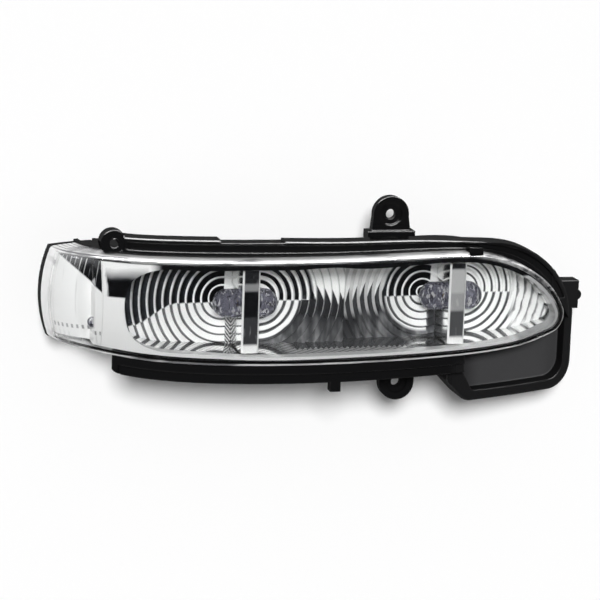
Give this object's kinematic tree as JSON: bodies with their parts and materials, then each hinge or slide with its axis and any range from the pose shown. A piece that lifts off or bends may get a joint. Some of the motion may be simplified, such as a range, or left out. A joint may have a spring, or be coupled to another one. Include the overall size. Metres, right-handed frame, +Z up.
{
  "type": "mirror turn signal lamp",
  "caption": "Curved side turn signal lamp for a door mirror, with a clear lens, a bright reflector of concentric stepped rings, side-facing diodes and a black housing with screw ears.",
  "frame": {"origin": "centre of the upper ear's screw hole, on the counterbore floor that the screw head bears on", "axes": "+X along the lamp away from the wrapped end, +Y from the lens to the back along the screw holes, +Z up"},
  "size_m": [0.2415, 0.0741, 0.0894],
  "materials": {
    "black_housing": "moulded black plastic, satin to glossy",
    "clear_plastic": "clear polished plastic",
    "bright_reflector": "metallised plastic, mirror bright",
    "bright_cap": "metallised plastic, mirror bright",
    "diode_resin": "clear resin",
    "circuit_board": "green solder mask",
    "steel": "zinc plated",
    "tinned_brass": "tin plated",
    "chip_body": "moulded epoxy",
    "capacitor_body": "moulded epoxy",
    "soft_cap": "soft black rubber",
    "wire_cover": "soft plastic cover"
  },
  "bodies": {
    "root": {"rear_housing": "black_housing", "clear_lens": "clear_plastic", "ringed_reflector": "bright_reflector", "end_reflector": "bright_reflector", "left_divider_cap": "bright_cap", "right_divider_cap": "bright_cap", "diode_one": "diode_resin", "diode_two": "diode_resin", "diode_three": "diode_resin", "diode_four": "diode_resin", "end_diode": "diode_resin", "left_diode_board": "circuit_board", "right_diode_board": "circuit_board", "end_diode_board": "circuit_board", "main_board": "circuit_board", "board_screws": "steel", "blade_terminals": "tinned_brass", "resistors": "chip_body", "protection_diode": "chip_body", "driver_chip": "chip_body", "filter_capacitor": "capacitor_body", "vent_cap": "soft_cap", "main_wires": "wire_cover", "end_wires": "wire_cover"}
  },
  "joints": []
}
